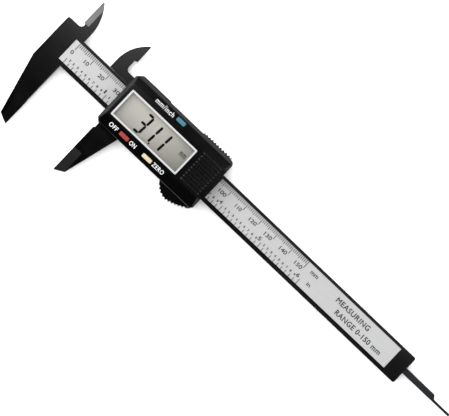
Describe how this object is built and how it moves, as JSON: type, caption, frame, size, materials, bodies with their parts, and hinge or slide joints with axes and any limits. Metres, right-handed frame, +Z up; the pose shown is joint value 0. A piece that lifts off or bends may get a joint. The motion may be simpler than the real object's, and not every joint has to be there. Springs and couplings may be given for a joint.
{
  "type": "digital caliper",
  "caption": "Sliding caliper with a moulded beam, outside and inside jaws, a digital display, three buttons, a thumb rest and a depth rod, lying on its back with the jaws part open.",
  "frame": {"origin": "bottom centre of the whole object's box, in the plane of the back cover that it lies on", "axes": "+X along the beam from the jaws towards the depth rod, +Y towards the inside jaws, +Z up out of the display"},
  "size_m": [0.264, 0.0742, 0.0144],
  "materials": {
    "black_composite": "satin, fine moulded grain",
    "rod_composite": "satin",
    "scale_label": "satin silver film with dark print",
    "scale_board": "circuit board",
    "white_bezel": "gloss",
    "clear_lens": "clear",
    "display_glass": "polarised glass",
    "display_reflector": "grey reflector film",
    "clear_holder": "translucent",
    "red_plastic": "satin",
    "cream_plastic": "satin",
    "blue_plastic": "satin",
    "green_board": "solder mask",
    "copper": "plated copper",
    "black_epoxy": "gloss",
    "grey_rubber": "matte",
    "capacitor": "satin",
    "steel": "bright",
    "cell_steel": "bright"
  },
  "bodies": {
    "beam": {"beam": "black_composite", "scale_board": "scale_board", "scale_label": "scale_label", "stop_plate": "black_composite", "stop_plate_screws": "steel"},
    "slider": {"slider_frame": "black_composite", "front_cover": "black_composite", "back_cover": "black_composite", "case_screws": "steel", "gib_spring": "steel", "depth_rod": "rod_composite", "rod_screw": "steel", "display_bezel": "white_bezel", "display_lens": "clear_lens", "lcd_holder": "clear_holder", "lcd_reflector": "display_reflector", "lcd_rear_glass": "display_glass", "lcd_front_glass": "display_glass", "zebra_strip": "grey_rubber", "main_board": "green_board", "board_screws": "steel", "reading_pads": "copper", "controller_blob": "black_epoxy", "timing_crystal": "cell_steel", "chip_capacitors": "capacitor", "power_dome": "grey_rubber", "zero_dome": "grey_rubber", "unit_dome": "grey_rubber", "button_cell": "cell_steel", "positive_contact": "steel", "negative_contact": "steel"},
    "power_button": {"power_button": "red_plastic"},
    "zero_button": {"zero_button": "cream_plastic"},
    "unit_button": {"unit_button": "blue_plastic"},
    "battery_cover": {"battery_cover": "black_composite"}
  },
  "joints": [
    {"name": "slider_slide", "type": "slide", "parent": "beam", "child": "slider", "axis": [1, 0, 0], "range_m": [-0.0311, 0.1205]},
    {"name": "power_press", "type": "slide", "parent": "slider", "child": "power_button", "axis": [0, 0, -1], "range_m": [0, 0.0005], "stiffness_N_per_m": 1000, "deforming": ["power_dome"]},
    {"name": "zero_press", "type": "slide", "parent": "slider", "child": "zero_button", "axis": [0, 0, -1], "range_m": [0, 0.0005], "stiffness_N_per_m": 1000, "deforming": ["zero_dome"]},
    {"name": "unit_press", "type": "slide", "parent": "slider", "child": "unit_button", "axis": [0, 0, -1], "range_m": [0, 0.0005], "stiffness_N_per_m": 1000, "deforming": ["unit_dome"]},
    {"name": "battery_cover_slide", "type": "slide", "parent": "slider", "child": "battery_cover", "axis": [1, 0, 0], "range_m": [0, 0.018]}
  ]
}
